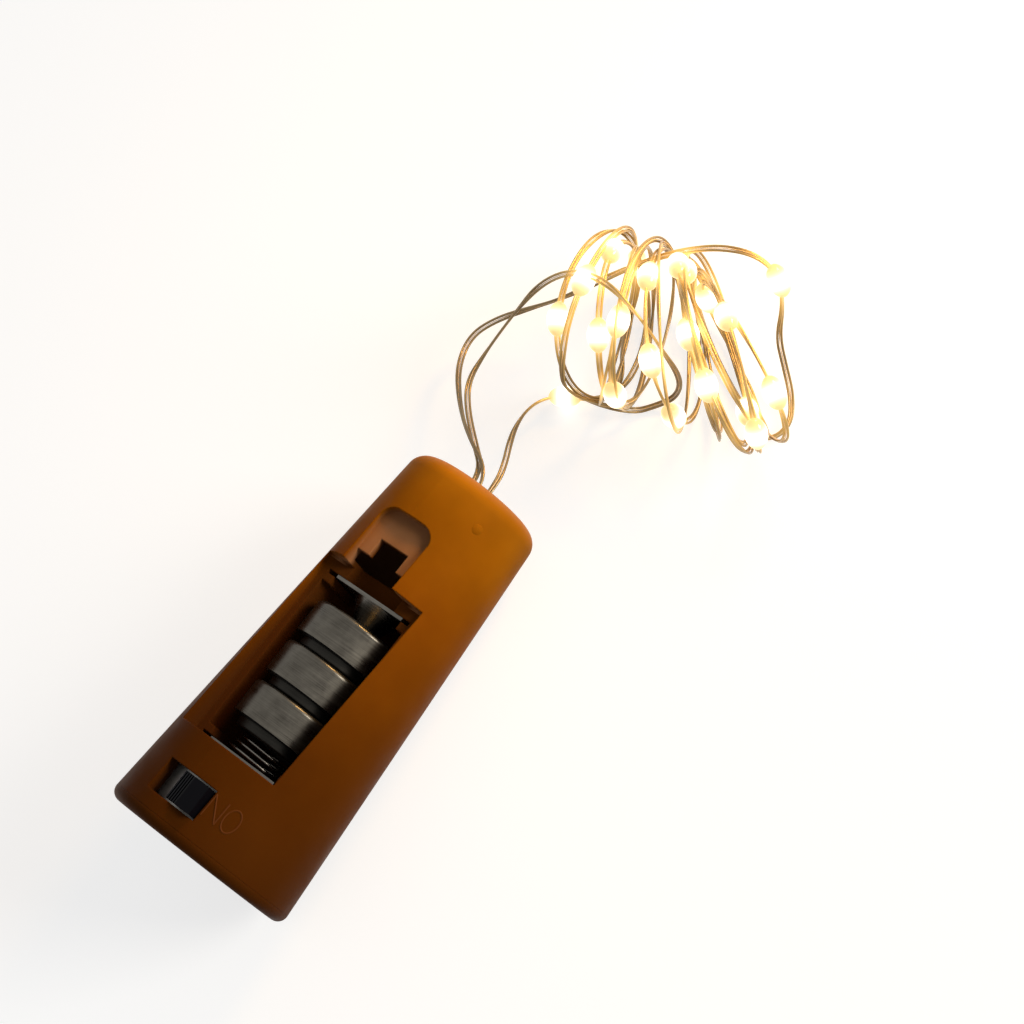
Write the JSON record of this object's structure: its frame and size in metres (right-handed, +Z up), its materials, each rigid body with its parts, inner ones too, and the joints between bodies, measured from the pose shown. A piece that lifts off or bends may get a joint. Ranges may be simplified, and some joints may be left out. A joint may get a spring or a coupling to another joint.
{
  "type": "cork bottle light",
  "caption": "Tapered cork-shaped bottle stopper light lying on its side: open bay with button cells, slide switch at the wide end, fine wire string of lights from the narrow end.",
  "frame": {"origin": "bottom centre of the box round the cork without its string, on the surface that the cork lies on", "axes": "+Z up, out of the open bay; +Y along the cork from its wide end to its narrow end, from which the string comes; +X to the cork's right when seen from the wide end with the bay up"},
  "size_m": [0.044, 0.0896, 0.0233],
  "materials": {
    "orange_brown_plastic": "smooth, slightly see-through orange-brown polystyrene, soft gloss",
    "nickel_plate": "nickel-plated steel sheet, satin",
    "spring_wire": "bright nickel-plated spring wire",
    "tinned_sheet": "tinned steel sheet, satin",
    "switch_board": "brown phenolic board, matt",
    "contact_brass": "bare brass, satin",
    "black_plastic": "black moulded plastic, soft gloss",
    "lead_cover": "soft wire covering, matt",
    "clear_glue": "set hot-melt glue, cloudy, glossy",
    "copper_wire": "varnished copper wire, satin",
    "clear_resin": "clear cured resin, glossy",
    "lit_chip": "white ceramic chip with a warm phosphor, lit",
    "cell_steel": "nickel-plated steel, drawn, satin",
    "cell_gasket": "dark nylon, matt"
  },
  "bodies": {
    "cork": {"casing": "orange_brown_plastic", "end_cap": "orange_brown_plastic", "negative_plate": "nickel_plate", "contact_spring": "spring_wire", "positive_plate": "nickel_plate", "switch_frame": "tinned_sheet", "switch_base": "switch_board", "switch_terminals": "contact_brass", "lead_negative": "lead_cover", "lead_switch": "lead_cover", "lead_positive": "lead_cover", "wire_seal": "clear_glue", "string_lead_out": "copper_wire", "string_lead_back": "copper_wire", "string_coil": "copper_wire", "string_branch": "copper_wire", "led_drops": "clear_resin", "led_chips": "lit_chip"},
    "switch_slider": {"switch_knob": "black_plastic", "switch_wiper": "contact_brass"},
    "cell_1": {"cell_1_can": "cell_steel", "cell_1_gasket": "cell_gasket", "cell_1_cap": "cell_steel"},
    "cell_2": {"cell_2_can": "cell_steel", "cell_2_gasket": "cell_gasket", "cell_2_cap": "cell_steel"},
    "cell_3": {"cell_3_can": "cell_steel", "cell_3_gasket": "cell_gasket", "cell_3_cap": "cell_steel"}
  },
  "joints": [
    {"name": "switch_slide", "type": "slide", "parent": "cork", "child": "switch_slider", "axis": [1, 0, 0], "range_m": [-0.0024, 0]},
    {"name": "cell_1_lift", "type": "slide", "parent": "cork", "child": "cell_1", "axis": [0, 0.0678, 0.9977], "range_m": [0, 0.016]},
    {"name": "cell_2_lift", "type": "slide", "parent": "cork", "child": "cell_2", "axis": [0, 0.0678, 0.9977], "range_m": [0, 0.016]},
    {"name": "cell_3_lift", "type": "slide", "parent": "cork", "child": "cell_3", "axis": [0, 0.0678, 0.9977], "range_m": [0, 0.016]}
  ]
}
